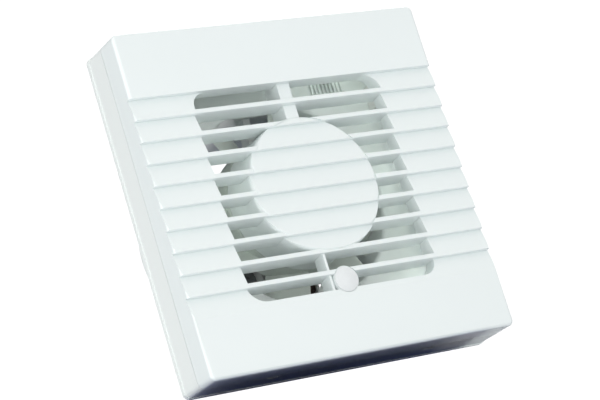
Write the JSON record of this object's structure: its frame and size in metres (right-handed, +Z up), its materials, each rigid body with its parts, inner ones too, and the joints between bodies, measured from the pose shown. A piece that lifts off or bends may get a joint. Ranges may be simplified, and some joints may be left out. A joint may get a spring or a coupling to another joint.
{
  "type": "bathroom extractor fan",
  "caption": "Square white louvred extractor fan for a round wall duct, with a centre disc, an indicator lens and an axial impeller behind.",
  "frame": {"origin": "on the duct axis, in the plane of the wall that the back plate is fixed to", "axes": "+Y into the wall along the duct, +Z up, +X to the right for someone facing the cover"},
  "size_m": [0.1588, 0.0851, 0.1588],
  "materials": {
    "front_cover": "satin white ABS",
    "indicator_lens": "milky white lens",
    "fan_housing": "satin off-white ABS",
    "cable_grommet": "black rubber",
    "cable_clamp": "satin white nylon",
    "cable_clamp_screw_1": "zinc-plated steel",
    "cable_clamp_screw_2": "zinc-plated steel",
    "terminal_block": "white polyamide",
    "terminal_block_screw": "zinc-plated steel",
    "terminal_insert_1": "plain brass",
    "terminal_insert_2": "plain brass",
    "terminal_insert_3": "plain brass",
    "terminal_screw_1": "zinc-plated steel",
    "terminal_screw_2": "zinc-plated steel",
    "terminal_screw_3": "zinc-plated steel",
    "neon_lamp": "clear glass envelope",
    "neon_holder": "white nylon",
    "neon_holder_screw": "zinc-plated steel",
    "motor_lead_1": "brown PVC insulation",
    "motor_lead_2": "blue PVC insulation",
    "neon_lead_1": "white PVC insulation",
    "neon_lead_2": "white PVC insulation",
    "impeller": "satin off-white moulding",
    "impeller_clip": "spring steel",
    "motor_shaft": "ground steel",
    "rotor": "laminated steel and cast aluminium",
    "stator_core": "stacked steel laminations",
    "shading_ring_1": "bare copper",
    "shading_ring_2": "bare copper",
    "coil_bobbin": "white nylon",
    "coil_winding": "enamelled copper wire under clear tape",
    "front_bearing_bracket": "die-cast",
    "rear_bearing_bracket": "die-cast",
    "front_bush": "sintered bronze",
    "rear_bush": "sintered bronze",
    "front_thrust_washer": "natural nylon",
    "rear_thrust_washer": "natural nylon",
    "motor_screw_1": "zinc-plated steel",
    "motor_screw_2": "zinc-plated steel"
  },
  "bodies": {
    "housing": {"fan_housing": "fan_housing", "cable_grommet": "cable_grommet", "cable_clamp": "cable_clamp", "cable_clamp_screw_1": "cable_clamp_screw_1", "cable_clamp_screw_2": "cable_clamp_screw_2", "terminal_block": "terminal_block", "terminal_block_screw": "terminal_block_screw", "terminal_insert_1": "terminal_insert_1", "terminal_insert_2": "terminal_insert_2", "terminal_insert_3": "terminal_insert_3", "terminal_screw_1": "terminal_screw_1", "terminal_screw_2": "terminal_screw_2", "terminal_screw_3": "terminal_screw_3", "neon_lamp": "neon_lamp", "neon_holder": "neon_holder", "neon_holder_screw": "neon_holder_screw", "motor_lead_1": "motor_lead_1", "motor_lead_2": "motor_lead_2", "neon_lead_1": "neon_lead_1", "neon_lead_2": "neon_lead_2", "stator_core": "stator_core", "shading_ring_1": "shading_ring_1", "shading_ring_2": "shading_ring_2", "coil_bobbin": "coil_bobbin", "coil_winding": "coil_winding", "front_bearing_bracket": "front_bearing_bracket", "rear_bearing_bracket": "rear_bearing_bracket", "front_bush": "front_bush", "rear_bush": "rear_bush", "front_thrust_washer": "front_thrust_washer", "rear_thrust_washer": "rear_thrust_washer", "motor_screw_1": "motor_screw_1", "motor_screw_2": "motor_screw_2"},
    "impeller": {"impeller": "impeller", "impeller_clip": "impeller_clip", "motor_shaft": "motor_shaft", "rotor": "rotor"},
    "cover": {"front_cover": "front_cover", "indicator_lens": "indicator_lens"}
  },
  "joints": [
    {"name": "impeller_spin", "type": "hinge", "parent": "housing", "child": "impeller", "pos_m": [0, 0, 0], "axis": [0, -1, 0], "continuous": true},
    {"name": "cover_removal", "type": "slide", "parent": "housing", "child": "cover", "axis": [0, -1, 0], "range_m": [0, 0.06]}
  ]
}
